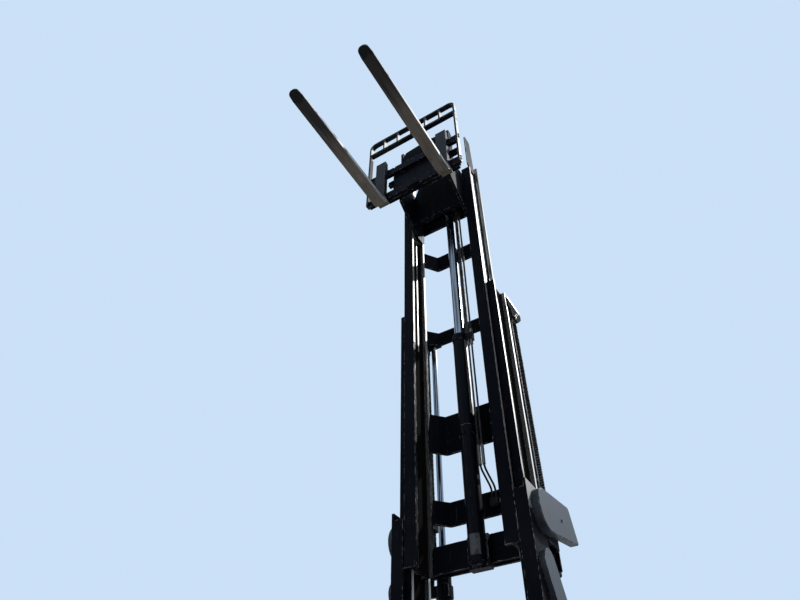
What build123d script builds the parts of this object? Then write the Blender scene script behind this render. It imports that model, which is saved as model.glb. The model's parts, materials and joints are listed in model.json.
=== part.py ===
from build123d import *
from math import acos, atan2, cos, hypot, radians, sin, tan
import os

os.makedirs("parts", exist_ok=True)

# Three-stage lift mast with a side-shifting fork carriage, drawn raised and with its free lift used up.
# X runs across the mast, Y backwards, Z up. The origin is on the foot pivot's axis, midway between
# its two bosses. Depths are measured backwards from the front face of the outer uprights.
pivot_depth = 235.0
foot_drop = 150.0

# Heights of the raised stages above the pivot
outer_top = 3050.0
mid_top = 4577.0
mid_foot = 1310.0
inner_top = 5946.0
inner_foot = 2744.0
inner_rise = 190.0

# Rolled upright sections
flange = 20.0
root_fillet = 7.0
web = 14.0
top_notch = 42.0
roller_side = 5.0
roller_play = 1.5

# Lift cylinders and lift chains, the same on both sides
rod_x = 312.0
rod_depth = 423.0
rod_radius = 20.0
tube_radius = 37.5
tube_top = 2846.0
tube_foot = -110.0
rod_in_tube = 1440.0
chain_x = 351.0
chain_width = 26.0
chain_thick = 12.0
chain_pitch = 31.75
chain_waist = 2.5
sheave_depth = 349.0
sheave_radius = 45.0
sheave_height = 4440.0
head_room = 40.0
crosshead_thick = 25.0
crosshead_low = sheave_height + sheave_radius + chain_thick / 2 + head_room

# Free-lift cylinder on the inner stage
free_x = 37.0
free_depth = 145.0
free_tube_radius = 48.0
free_rod_radius = 33.0
free_foot = 2728.0
free_tube_top = 4256.0
free_head_thick = 18.0
free_sheave_radius = 55.0
free_sheave_depth = 95.0
free_sheave_height = 5710.0
free_head_low = free_sheave_height - free_sheave_radius - chain_thick / 2 - 5.0 - free_head_thick
free_chain_x = 92.0
free_hose_x = 120.0
hose_radius = 7.0

# Fork carriage, heights above the pivot
fork_low = 5521.0
fork_width = 92.0
fork_thick = 40.0
fork_length = 1150.0
shank_back = -285.0
bar_low = fork_low + 75.0
carriage_height = 407.0
bar_height = 80.0
bar_thick = 32.0
shift_rest = -65.0
carriage_half = 437.0
fork_half_gap = 293.0
slide_gap = 0.5

bore_gap = 0.05


def back(depth):
    return depth - pivot_depth


def block(x, depth, z):
    return Pos((x[0] + x[1]) / 2, back((depth[0] + depth[1]) / 2), (z[0] + z[1]) / 2) * Box(
        x[1] - x[0], depth[1] - depth[0], z[1] - z[0])


# Outlines are lists of corners; a third value is the radius that rounds that corner
def outline(corners):
    face = make_face(Polyline(*[corner[:2] for corner in corners], close=True))
    for corner in corners:
        if len(corner) == 3:
            place = Vector(corner[0], corner[1], 0)
            face = fillet(face.vertices().sort_by_distance(place)[0], corner[2])
    return face


def plan_prism(corners, z):
    face = outline([(x, back(depth), *rounding) for x, depth, *rounding in corners])
    return Pos(0, 0, z[0]) * extrude(face, amount=z[1] - z[0])


def side_plate(corners, x):
    face = outline([(back(depth), z, *rounding) for depth, z, *rounding in corners])
    return extrude(Plane.YZ.offset(x[0]) * face, amount=x[1] - x[0])


def front_plate(corners, depth):
    return extrude(Plane.XZ.offset(-back(depth[1])) * outline(corners), amount=depth[1] - depth[0])


def rod_x_way(x, depth, z, radius):
    return Pos((x[0] + x[1]) / 2, back(depth), z) * Rot(0, 90, 0) * Cylinder(radius, x[1] - x[0])


def rod_z_way(x, depth, z, radius):
    return Pos(x, back(depth), (z[0] + z[1]) / 2) * Cylinder(radius, z[1] - z[0])


def both_sides(shape):
    return Compound([shape, mirror(shape, about=Plane.YZ)])


def save(shape, node):
    export_step(shape, f"parts/{node}.step")


def save_pair(shape, node):
    save(shape, f"{node}_right")
    save(mirror(shape, about=Plane.YZ), f"{node}_left")


# Uprights: nested rolled sections, given by the plan spans of two flanges and the web between them
def upright(front, section, web_x, front_x, rear_x, low, high):
    rear = front + section
    face = Pos(sum(web_x) / 2, back(front + section / 2)) * Rectangle(web_x[1] - web_x[0], section)
    for span, start in ((front_x, front), (rear_x, rear - flange)):
        strip = Pos(sum(span) / 2, back(start + flange / 2)) * Rectangle(span[1] - span[0], flange)
        face += strip
    inner_lines = (back(front + flange), back(rear - flange))
    roots = [v for v in face.vertices()
             if min(abs(v.Y - y) for y in inner_lines) < 0.01 and min(abs(v.X - x) for x in web_x) < 0.01]
    face = fillet(roots, root_fillet)
    return Pos(0, 0, low) * extrude(face, amount=high - low)


# Columns: front face, section depth, web span, front flange span, rear flange span, foot, top
rails = {
    "outer": (0.0, 195.0, (381.0, 395.0), (325.0, 395.0), (347.0, 395.0), -foot_drop, outer_top),
    "mid": (46.0, 194.0, (327.0, 341.0), (297.0, 371.0), (297.0, 371.0), mid_foot, mid_top),
    "inner": (7.0, 189.0, (275.0, 289.0), (245.0, 320.0), (245.0, 320.0), inner_foot, inner_top + inner_rise),
}
outer_front, outer_section, outer_web, outer_flange = rails["outer"][:4]
mid_front, mid_section, mid_web, mid_flange = rails["mid"][:4]
inner_front, inner_section, inner_web, inner_flange = rails["inner"][:4]
outer_rear = outer_front + outer_section
mid_rear = mid_front + mid_section
inner_rear = inner_front + inner_section
outer_half = outer_web[1]
mid_half = mid_flange[1]
inner_half = inner_flange[1]

outer_rail = upright(*rails["outer"])
outer_rail -= block((outer_flange[0] - 1, outer_web[0]), (outer_front - 1, outer_front + flange + root_fillet),
                    (outer_top - top_notch, outer_top + 1))
mid_rail = upright(*rails["mid"])
mid_rail -= block((mid_flange[0] - 1, mid_web[0]), (mid_front - 1, mid_front + flange + root_fillet),
                  (mid_top - top_notch / 2, mid_top + 1))
mid_rail -= block((mid_web[1], mid_half + 1), (mid_front - 1, mid_front + flange + root_fillet),
                  (mid_top - top_notch / 2, mid_top + 1))
inner_rail = upright(*rails["inner"])
slope = [(inner_front - 1, inner_top), (inner_front + flange, inner_top), (inner_rear - flange, inner_top + inner_rise),
         (inner_rear - flange, inner_top + inner_rise + 1), (inner_front - 1, inner_top + inner_rise + 1)]
inner_rail -= side_plate(slope, (inner_flange[0] - 1, inner_half + 1))
end_plate = [(70, inner_top + 64), (150, inner_top + 64), (150, inner_top + inner_rise + 4), (128, inner_top + 554, 20),
             (40, inner_top + 554, 10), (40, inner_top + 114)]
inner_rail += side_plate(end_plate, (inner_web[1], inner_web[1] + 12))
save_pair(outer_rail, "outer_upright")
save_pair(mid_rail, "mid_upright")
save_pair(inner_rail, "inner_upright")

# Ties: plates across the rear faces of a stage, most of them pressed backwards between two bends
bend_radius = 14.0


def tie(half, flat, bend, front, thick, rise, z):
    if not rise:
        return plan_prism([(-half, front), (half, front), (half, front + thick), (-half, front + thick)], z)
    step = thick * tan(atan2(rise, flat - bend) / 2)
    outer = bend_radius + thick
    deep = front + rise
    right = [(bend, deep, bend_radius), (flat, front, outer), (half, front), (half, front + thick),
             (flat + step, front + thick, bend_radius), (bend + step, deep + thick, outer)]
    left = [(-corner[0], *corner[1:]) for corner in reversed(right)]
    return plan_prism(right + left, z)


# Columns: half width, where each end stops being flat, where the deep part starts, front face, thickness
inner_tie_plan = (290.0, 250.0, 175.0, inner_rear, 16.0)
mid_tie_plan = (330.0, 310.0, 220.0, mid_rear, 15.0)
inner_tie_half, inner_tie_flat, inner_tie_bend, inner_tie_front, tie_plate = inner_tie_plan
deep_rise = 84.0
# Columns: node, plan, rise of the deep part, bottom, top
ties = {
    "inner_top_tie": (inner_tie_plan, 0.0, 5579.0, 5769.0),
    "inner_upper_tie": (inner_tie_plan, 104.0, 5191.0, 5351.0),
    "inner_deep_plate": (inner_tie_plan, deep_rise, 3491.0, 3766.0),
    "inner_lower_tie": (inner_tie_plan, deep_rise, 3036.0, 3179.0),
    "inner_foot_tie": (inner_tie_plan, 0.0, 2756.0, 2902.0),
    "mid_top_tie": (mid_tie_plan, 97.0, mid_top - 141.0, mid_top - 21.0),
    "mid_foot_tie": (mid_tie_plan, 97.0, mid_foot + 6.0, mid_foot + 126.0),
}
lip_depth = (166.0, inner_rear)
for node, (plan, rise, low, high) in ties.items():
    plate = tie(*plan, rise, (low, high))
    if node == "inner_top_tie":
        plate += plan_prism([(-242, lip_depth[1] + 1), (-242, lip_depth[0], 14), (232, lip_depth[0], 14),
                             (232, lip_depth[1] + 1)], (high - 12, high))
    save(plate, node)

# Yokes of the outer stage: cheeks run back past the other stages to a plate behind them
yoke_front = 367.0
yoke_thick = 14.0
yoke_corner = 24.0


def yoke(low, high):
    half = outer_half
    inside = outer_web[0]
    rear = yoke_front + yoke_thick
    points = [(half, outer_rear), (half, rear - yoke_corner), (half - yoke_corner, rear), (yoke_corner - half, rear),
              (-half, rear - yoke_corner), (-half, outer_rear), (-inside, outer_rear), (-inside, yoke_front),
              (inside, yoke_front), (inside, outer_rear)]
    return plan_prism(points, (low, high))


# Columns: node, bottom, top
yoke_z = {"outer_top_yoke": (2805.0, 2905.0), "outer_middle_yoke": (1400.0, 1540.0), "outer_foot_yoke": (120.0, 260.0)}
for node, span in yoke_z.items():
    save(yoke(*span), node)

# Foot pivot: a bored boss behind each outer upright, its flank plate on the outer face
boss_x = (378.0, 428.0)
boss_radius = 48.0
pivot_radius = 25.0
boss = side_plate([(outer_rear, 78), (outer_rear, -78), (pivot_depth, -boss_radius), (pivot_depth, boss_radius)],
                  boss_x)
boss += rod_x_way(boss_x, pivot_depth, 0, boss_radius)
boss += block((outer_half, boss_x[1]), (110, outer_rear + 1), (-78, 78))
boss -= rod_x_way((boss_x[0] - 1, boss_x[1] + 1), pivot_depth, 0, pivot_radius)
boss -= block((boss_x[0] - 1, outer_half), (100, outer_rear), (-80, 80))
save(both_sides(boss), "pivot_bosses")

# Tilt lugs: one bored ear behind each outer upright
lug_height = 800.0
lug_depth = 262.0
lug_radius = 34.0
lug_bore = 17.5
lug_x = (outer_web[0], outer_half)
lug = side_plate([(outer_rear, lug_height + 70), (outer_rear, lug_height - 70),
                  (lug_depth, lug_height - lug_radius), (lug_depth, lug_height + lug_radius)], lug_x)
lug += rod_x_way(lug_x, lug_depth, lug_height, lug_radius)
lug -= rod_x_way((lug_x[0] - 1, lug_x[1] + 1), lug_depth, lug_height, lug_bore)
save(both_sides(lug), "tilt_lugs")

# Lift cylinders: tube on a seat behind the foot yoke, rod up to the crosshead of the middle stage
yoke_rear = yoke_front + yoke_thick
foot_yoke = yoke_z["outer_foot_yoke"]
seat = block((rod_x - 45, rod_x + 45), (yoke_rear, rod_depth + 45), (tube_foot - 20, tube_foot))
for strip in ((rod_x - 45, rod_x - 27), (rod_x + 27, rod_x + 45)):
    seat += block(strip, (yoke_rear, yoke_rear + 14), (tube_foot - 20, foot_yoke[1]))
save(both_sides(seat), "cylinder_seats")
tube = rod_z_way(rod_x, rod_depth, (tube_foot, tube_top), tube_radius)
tube += rod_z_way(rod_x, rod_depth, (tube_top - 60, tube_top), tube_radius + 4)
tube -= rod_z_way(rod_x, rod_depth, (tube_foot + 40, tube_top + 1), rod_radius + bore_gap)
save_pair(tube, "lift_tube")
rod = rod_z_way(rod_x, rod_depth, (tube_top - rod_in_tube, crosshead_low), rod_radius)
save_pair(rod, "lift_rod")

# Clamps: a plate behind the top yoke holds each tube in a ring and carries the fixed end of its chain
ring_z = (tube_top - 130, tube_top - 70)
anchor_low = tube_top + 6.0
anchor_top = 2886.0
strip_x = (tube_radius + rod_x + 7.5, outer_web[0] - 1.0)
chain_left = chain_x - chain_width / 2
clamp = front_plate([(rod_x - 46, ring_z[0]), (strip_x[1], ring_z[0]), (strip_x[1], anchor_top, 10),
                     (chain_left, anchor_top), (chain_left, anchor_low), (strip_x[0], anchor_low),
                     (strip_x[0], ring_z[1]), (rod_x - 46, ring_z[1])], (yoke_rear, yoke_rear + 12))
clamp += block((chain_left, strip_x[1]), (yoke_rear, sheave_depth + sheave_radius + 12), (anchor_low, anchor_top))
clamp += rod_z_way(rod_x, rod_depth, ring_z, tube_radius + 12)
clamp -= rod_z_way(rod_x, rod_depth, (ring_z[0] - 1, ring_z[1] + 1), tube_radius + bore_gap)
save_pair(clamp, "tube_clamp")

# Shoulder covers: pressed shells outside the tops of the outer uprights, round in front, open above and behind
cover_out = 440.0
cover_wall = 4.0
cover_arris = 4.0
cover_nose = (140.0, 2925.0)
cover_nose_radius = 108.0
cover_rear_top = (496.0, 3082.0)
cover_rear_foot = (571.0, 2898.0)


def touch_point(point, side):
    run = point[0] - cover_nose[0]
    rise = point[1] - cover_nose[1]
    turn = atan2(rise, run) + side * acos(cover_nose_radius / hypot(run, rise))
    return back(cover_nose[0] + cover_nose_radius * cos(turn)), cover_nose[1] + cover_nose_radius * sin(turn)


above = touch_point(cover_rear_top, 1)
below = touch_point(cover_rear_foot, -1)
rear_top = (back(cover_rear_top[0]), cover_rear_top[1])
rear_foot = (back(cover_rear_foot[0]), cover_rear_foot[1])
nose_tip = (back(cover_nose[0] - cover_nose_radius), cover_nose[1])
cover_face = make_face(Polyline(above, rear_top, rear_foot, below) + ThreePointArc(below, nose_tip, above))
for place, radius in ((rear_top, 30.0), (rear_foot, 12.0)):
    cover_face = fillet(cover_face.vertices().sort_by_distance(Vector(*place, 0))[0], radius)
cover_base = Plane.YZ.offset(outer_half)
cover = extrude(cover_base * cover_face, amount=cover_out - outer_half)
cover = chamfer(cover.faces().sort_by(Axis.X)[-1].edges(), cover_arris)
cover -= extrude(cover_base * offset(cover_face, -cover_wall), amount=cover_out - outer_half - cover_wall)
cover -= block((outer_half - 1, cover_out - cover_wall), (outer_rear + 1, cover_rear_foot[0] + 30),
               (cover_nose[1] - 20, cover_rear_top[1] + 20))
save_pair(cover, "shoulder_cover")

# Stay bars: flat bars with round ends on the outer faces of the outer uprights, leaning backwards below the covers
stay_top = (96.0, 2647.0)
stay_lean = radians(28.8)
stay_half = 70.0
stay_length = 380.0
stay_thick = 30.0


def stay_corner(along, across):
    depth = stay_top[0] + along * sin(stay_lean) + across * cos(stay_lean)
    return depth, stay_top[1] - along * cos(stay_lean) + across * sin(stay_lean), stay_half - 0.5


stay_ends = (-stay_half, stay_length + stay_half)
stay = side_plate([stay_corner(stay_ends[0], -stay_half), stay_corner(stay_ends[0], stay_half),
                   stay_corner(stay_ends[1], stay_half), stay_corner(stay_ends[1], -stay_half)],
                  (outer_half, outer_half + stay_thick))
save(both_sides(stay), "stay_bars")


# Mast rollers, held by one stage's web and running between the flanges of the next
def stage_roller(face_x, reach_x, fronts, rears, z):
    front = max(fronts) + flange
    rear = min(rears) - flange
    radius = (rear - front) / 2 - roller_play
    side = 1 if reach_x > face_x else -1
    near = face_x + side * (root_fillet + 1)
    roller = rod_x_way((min(near, reach_x), max(near, reach_x)), (front + rear) / 2, z, radius)
    return roller + rod_x_way((min(face_x, near + side), max(face_x, near + side)), (front + rear) / 2, z, 26)


outer_mid = ((outer_front, mid_front), (outer_rear, mid_rear))
mid_inner = ((mid_front, inner_front), (mid_rear, inner_rear))
# Columns: node, web face that holds it, far end, stages it runs between, height
for node, face_x, reach_x, stages, height in (
        ("outer_top_rollers", outer_web[0], mid_web[1] + roller_side, outer_mid, outer_top - 110),
        ("mid_foot_rollers", mid_web[1], outer_web[0] - roller_side, outer_mid, mid_foot + 60),
        ("mid_top_rollers", mid_web[0], inner_web[1] + roller_side, mid_inner, mid_top - 110),
        ("inner_foot_rollers", inner_web[1], mid_web[0] - roller_side, mid_inner, inner_foot + 60)):
    save(both_sides(stage_roller(face_x, reach_x, *stages, height)), node)


# Chain sheave with a grooved rim, its axis along X
def sheave(x, depth, z, radius, thick, groove, hub):
    half = groove / 2 + 2.5
    lip = radius + 3
    floor = radius - thick / 2 - 0.3
    points = [(hub, -half), (lip, -half), (floor, -groove / 2), (floor, groove / 2), (lip, half), (hub, half)]
    wheel = revolve(make_face(Polyline(*points, close=True)), Axis.Y)
    return Pos(x, back(depth), z) * Rot(0, 0, 90) * wheel


# Crossheads behind the top of the middle stage: a plate on each rod, a cheek and the sheave's pin
sheave_groove = chain_width + 1.0
sheave_face = chain_x + sheave_groove / 2 + 2.5
side_x = (sheave_face + 1.0, sheave_face + 13.0)
pin_radius = 14.0
crosshead_rear = rod_depth + 42.0
cheek_low = sheave_height - 28.0
cheek_mid = sheave_height + 26.0
crosshead_top = crosshead_low + crosshead_thick
tie_clear = mid_tie_plan[0] + 2.0
crosshead = plan_prism([(tie_clear, mid_rear), (side_x[1], mid_rear), (side_x[1], crosshead_rear, 12),
                        (rod_x - 50, crosshead_rear, 12), (rod_x - 50, crosshead_rear - 70), (tie_clear, mid_rear + 60)],
                       (crosshead_low, crosshead_top))
crosshead += block((tie_clear, side_x[1]), (mid_rear, mid_rear + 18), (cheek_mid, crosshead_low + 1))
crosshead += side_plate([(mid_rear, cheek_mid), (mid_rear, crosshead_top), (crosshead_rear, crosshead_top),
                         (crosshead_rear, cheek_mid + 30, 16), (sheave_depth + 40, cheek_low, 28),
                         (sheave_depth - 40, cheek_low, 28), (sheave_depth - 70, cheek_mid, 8)], side_x)
crosshead += rod_x_way((sheave_face - sheave_groove - 5, side_x[0] + 1), sheave_depth, sheave_height, pin_radius)
save_pair(crosshead, "crosshead")
wheel = sheave(chain_x, sheave_depth, sheave_height, sheave_radius, chain_thick, sheave_groove, pin_radius + bore_gap)
save(both_sides(wheel), "lift_sheaves")


# Leaf chains: straight runs with their edges waisted between the links, and the half turn over a sheave
def chain_run(x, depth, z):
    links = round((z[1] - z[0]) / chain_pitch)
    step = (z[1] - z[0]) / links / 2
    front = []
    for number in range(2 * links + 1):
        waist = chain_waist if number % 2 else 0.0
        front.append((depth - chain_thick / 2 + waist, z[0] + number * step))
    rear = [(2 * depth - edge, height) for edge, height in reversed(front)]
    return side_plate(front + rear, (x - chain_width / 2, x + chain_width / 2))


def chain_wrap(x, depth, z, radius):
    ring = rod_x_way((x - chain_width / 2, x + chain_width / 2), depth, z, radius + chain_thick / 2)
    ring -= rod_x_way((x - chain_width, x + chain_width), depth, z, radius - chain_thick / 2)
    reach = radius + chain_thick
    return ring - block((x - chain_width, x + chain_width), (depth - reach, depth + reach), (z - reach, z))


arm_z = ties["inner_lower_tie"][2:]
chain_front = sheave_depth - sheave_radius
save_pair(chain_wrap(chain_x, sheave_depth, sheave_height, sheave_radius), "lift_chain_wrap")
save_pair(chain_run(chain_x, chain_front, (arm_z[1], sheave_height)), "lift_chain_front")
save_pair(chain_run(chain_x, sheave_depth + sheave_radius, (anchor_top, sheave_height)), "lift_chain_rear")

# Arms behind the inner lower tie hold the moving ends of the lift chains
arm_front = inner_rear + tie_plate
arm_side = chain_x + chain_width / 2
arm = plan_prism([(inner_tie_flat + 20, arm_front), (inner_tie_half, arm_front), (inner_tie_half, chain_front - 14, 8),
                  (arm_side, chain_front - 14), (arm_side, chain_front + 12, 8), (inner_tie_half - 14, chain_front + 12),
                  (inner_tie_flat + 20, chain_front - 8)], arm_z)
save(both_sides(arm), "inner_chain_arms")

# Free-lift cylinder: tube in a bracket on the inner foot tie, strapped to the deep plate
deep_front = inner_rear + deep_rise
base_low, base_high = ties["inner_foot_tie"][2:]
strap_low = ties["inner_deep_plate"][2] - 11.0
strap_z = (strap_low, strap_low + 55.0)
free_tube = rod_z_way(free_x, free_depth, (free_foot, free_tube_top), free_tube_radius)
free_tube = chamfer(free_tube.faces().sort_by(Axis.Z)[0].edges(), 16.0)
free_tube += block((free_x - 30, free_x + 30), (free_depth, inner_rear), (base_low + 24, base_high - 12))
free_tube += block((free_x - 30, free_x + 30), (free_depth, deep_front), (strap_z[0] + 12, strap_z[1]))
free_tube += rod_z_way(free_x, free_depth, strap_z, free_tube_radius + 5)
cheek_near = free_tube_radius + 2
cheek_far = free_tube_radius + 10
for cheek in ((free_x - cheek_far, free_x - cheek_near), (free_x + cheek_near, free_x + cheek_far)):
    free_tube += side_plate([(free_depth, free_foot - 8, 14), (free_depth, base_high - 7, 20),
                             (inner_rear, base_high - 7), (inner_rear, free_foot - 8)], cheek)
free_tube += block((free_x - cheek_far, free_x + cheek_far), (free_depth, inner_rear), (free_foot - 8, free_foot + 1))
free_tube += rod_z_way(free_x, free_depth, (free_tube_top - 50, free_tube_top), free_tube_radius + 3)
free_tube += block((free_x + 30, free_hose_x + 14), (free_depth - 12, free_depth + 20), (free_tube_top - 60, free_tube_top))
free_tube -= rod_z_way(free_x, free_depth, (free_foot + 60, free_tube_top + 1), free_rod_radius + bore_gap)
save(free_tube, "free_lift_tube")
free_rod = rod_z_way(free_x, free_depth, (free_tube_top - 50, free_head_low), free_rod_radius)
save(free_rod, "free_lift_rod")

# Hoses beside the free-lift tube, from a block on the lower tie up to the tube's head
hose_rear = deep_front - 12.0
block_top = arm_z[1] - 50.0
# Columns: x, top
hoses = ((free_x + free_tube_radius + 12.0, free_tube_top - 60.0), (free_hose_x, free_tube_top - 60.0))
pipes = []
for x, high in hoses:
    path = FilletPolyline((x, back(free_depth), high), (x, back(free_depth), block_top + 130),
                          (x, back(hose_rear), block_top + 60), (x, back(hose_rear), block_top), radius=45)
    pipes.append(sweep(Plane(path @ 0, z_dir=path % 0) * Circle(hose_radius - 1), path))
pipes.append(block((hoses[0][0] - 13, hoses[1][0] + 13), (hose_rear - 12, deep_front), (block_top - 40, block_top)))
save(Compound(pipes), "mast_hoses")

# Free-lift crosshead: a plate on the rod and two cheeks that carry the chain sheave and the hose sheave
free_pin = 10.0
free_groove = chain_width + 1.0
hose_groove = 2 * hose_radius + 2.0
left_face = free_chain_x - free_groove / 2 - 3.5
right_face = free_hose_x + hose_groove / 2 + 3.5
cheeks = ((left_face - 8, left_face), (right_face, right_face + 8))
head_front = free_sheave_depth - 22
head_rear = free_sheave_depth + 22
free_head = plan_prism([(free_x - 40, free_depth + 40, 20), (free_x - 40, head_front, 20), (cheeks[1][1], head_front),
                        (cheeks[1][1], head_rear, 10), (free_x + 40, head_rear + 10), (free_x + 40, free_depth + 40, 20)],
                       (free_head_low, free_head_low + free_head_thick))
for cheek in cheeks:
    free_head += side_plate([(head_front, free_head_low), (head_front, free_sheave_height + 20, 18),
                             (head_rear, free_sheave_height + 20, 18), (head_rear, free_head_low)], cheek)
free_head += rod_x_way((cheeks[0][0], cheeks[1][1]), free_sheave_depth, free_sheave_height, free_pin)
save(free_head, "free_lift_crosshead")
free_hub = free_pin + bore_gap
free_wheels = Compound([
    sheave(free_chain_x, free_sheave_depth, free_sheave_height, free_sheave_radius, chain_thick, free_groove, free_hub),
    sheave(free_hose_x, free_sheave_depth, free_sheave_height, free_sheave_radius, 2 * hose_radius, hose_groove, free_hub)])
save(free_wheels, "free_lift_sheaves")
save(chain_wrap(free_chain_x, free_sheave_depth, free_sheave_height, free_sheave_radius), "free_chain_wrap")
free_rear = free_sheave_depth + free_sheave_radius
free_front = free_sheave_depth - free_sheave_radius
cross_tube_z = (bar_low - 56.0, bar_low - 6.0)
save(chain_run(free_chain_x, free_rear, (free_tube_top, free_sheave_height)), "free_chain_rear")
save(chain_run(free_chain_x, free_front, (cross_tube_z[1], free_sheave_height)), "free_chain_front")

# Carriage on the inner stage: two side plates with rollers, two slide bars and cross members between the plates
plate_x = (inner_flange[0] - 26.0, inner_flange[0] - 6.0)
plate_foot = bar_low - 201.0
plate_top = bar_low + 319.0
horn_top = bar_low + 754.0
slide_bar = (-235.0, -205.0)
slide_height = 60.0
lower_slide_z = (bar_low + 30.0, bar_low + 30.0 + slide_height)
upper_slide_z = (bar_low + 240.0, bar_low + 240.0 + slide_height)
horn_front = -183.0
horn_rear = -120.0
side = side_plate([(slide_bar[1], bar_low), (slide_bar[1], plate_top - 57), (horn_front, plate_top - 57),
                   (horn_front, horn_top, 20), (horn_rear, horn_top, 40), (horn_rear, plate_top, 60),
                   (160, plate_top, 30), (160, plate_foot, 30), (60, plate_foot, 60)], plate_x)
save_pair(side, "carriage_plate")
carriage_roller = inner_section / 2 - flange - roller_play
roller_depth = inner_front + inner_section / 2
rollers = []
for height in (plate_foot + 75, plate_top - 75):
    roller = rod_x_way((plate_x[1] + 6, inner_web[0] - roller_side), roller_depth, height, carriage_roller)
    roller += rod_x_way((plate_x[1], plate_x[1] + 7), roller_depth, height, 24)
    rollers += [roller, mirror(roller, about=Plane.YZ)]
save(Compound(rollers), "carriage_rollers")
bar_end = inner_flange[1] + 10.0
save(block((-bar_end, bar_end), slide_bar, upper_slide_z), "carriage_upper_bar")
save(block((-bar_end, bar_end), slide_bar, lower_slide_z), "carriage_lower_bar")
inside = plate_x[0]
cross = block((-inside, inside), (20, 60), cross_tube_z)
web_plate = front_plate([(-inside, bar_low - 76), (inside, bar_low - 76), (inside, plate_top - 60),
                         (inside - 60, plate_top + 115, 30), (60 - inside, plate_top + 115, 30),
                         (-inside, plate_top - 60)], (6, 20))
horn_plate = front_plate([(-inside, plate_top - 10), (inside, plate_top - 10), (inside, horn_top - 40),
                          (40, horn_top, 30), (-inside + 30, horn_top - 30, 20), (-inside, horn_top - 90)],
                         (horn_front, horn_front + 14))
save(Compound([cross + web_plate, horn_plate]), "carriage_cross_tube")

# Side-shift frame: two fork bars joined by a centre plate that hooks over the upper slide bar
bar_depth = (shank_back + slide_gap, shank_back + slide_gap + bar_thick)
post = 16.0
bar_x = (shift_rest - carriage_half + post, shift_rest + carriage_half - post)
bar_top = bar_low + carriage_height
hook_x = (shift_rest - 150, shift_rest + 150)
hook_top = upper_slide_z[1] + 30
hook_back = -192.0
plate_back = slide_bar[0] - 5
frame = block(bar_x, bar_depth, (bar_low, bar_low + bar_height))
frame += block(bar_x, bar_depth, (bar_top - bar_height, bar_top))
frame += block((shift_rest - 205, shift_rest + 205), (bar_depth[1] - 1, plate_back), (bar_low + 30, bar_top - 30))
frame += block(hook_x, (plate_back - 1, hook_back), (upper_slide_z[1] + slide_gap, hook_top))
frame += block(hook_x, (slide_bar[1] + slide_gap, hook_back), (upper_slide_z[0] + 28, hook_top))
frame += block(hook_x, (plate_back - 1, slide_bar[0] - slide_gap), (lower_slide_z[0] + 10, lower_slide_z[1] - 10))
frame -= block((shift_rest - 60, shift_rest + 60), (shank_back - 1, bar_depth[1] + 1), (bar_low - 1, bar_low + 26))
# Notches that locate the forks, cut into the top edge of the upper bar
for number in range(-4, 5):
    middle = shift_rest + 90 * number
    frame -= block((middle - 7, middle + 7), (shank_back - 1, bar_depth[1] + 1), (bar_top - 12, bar_top + 1))
save(frame, "side_shift_frame")

# Load backrest: a bent flat bar outline outside the ends of the fork bars, two top bars, short uprights between them
rest_top = bar_top + 531.0
rest_depth = (-306.0, bar_depth[1] - 12.0)
window_top = rest_top - 20.0
window_low = rest_top - 165.0
lower_bar = rest_top - 187.0
rest_x = (shift_rest - carriage_half, shift_rest + carriage_half)
rest = front_plate([(rest_x[0], bar_low), (rest_x[0], rest_top, 65), (rest_x[1], rest_top, 65), (rest_x[1], bar_low)],
                   rest_depth)
rest -= front_plate([(bar_x[0], bar_low - 1), (bar_x[0], lower_bar), (bar_x[1], lower_bar), (bar_x[1], bar_low - 1)],
                    (rest_depth[0] - 1, rest_depth[1] + 1))
windows = 6
short_post = 14.0
pitch = (bar_x[1] - bar_x[0] + short_post) / windows
for number in range(windows):
    left = bar_x[0] + pitch * number
    right = left + pitch - short_post
    left_round = 50 if number == 0 else 2
    right_round = 50 if number == windows - 1 else 2
    rest -= front_plate([(left, window_low), (left, window_top, left_round), (right, window_top, right_round),
                         (right, window_low)], (rest_depth[0] - 1, rest_depth[1] + 1))
save(rest, "load_backrest")


# Forks: tapered blade with a rounded tip, shank, two hooks round the fork bars and a locking pin
def fork(x):
    front = shank_back - fork_thick
    tip = front - fork_length + fork_thick
    top = bar_top + 97
    hook_high = bar_top + 24
    half = fork_width / 2
    span = (x - half, x + half)
    body = side_plate([(shank_back, fork_low, 36), (tip, fork_low + 14), (tip, fork_low + 24),
                       (tip + 620, fork_low + fork_thick), (front, fork_low + fork_thick, 24), (front, top, 6),
                       (shank_back, top, 14)], span)
    shape = plan_prism([(x - half, 0), (x - half, tip + 70), (x - half + 8, tip, 36), (x + half - 8, tip, 36),
                        (x + half, tip + 70), (x + half, 0)], (fork_low - 10, top + 10))
    body = body & shape
    hook_rear = bar_depth[1] + 14
    body += block(span, (shank_back - 1, hook_rear), (bar_top + slide_gap, hook_high))
    body += block(span, (bar_depth[1] + slide_gap, hook_rear), (bar_top - 22, hook_high))
    body += block(span, (shank_back - 1, hook_rear), (bar_low - 22, bar_low - slide_gap))
    body += block(span, (bar_depth[1] + slide_gap, hook_rear), (bar_low - 22, bar_low + 20))
    body += rod_z_way(x, sum(bar_depth) / 2, (hook_high - 1, hook_high + 26), 10)
    return body


save(fork(shift_rest + fork_half_gap), "fork_right")
save(fork(shift_rest - fork_half_gap), "fork_left")
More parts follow.
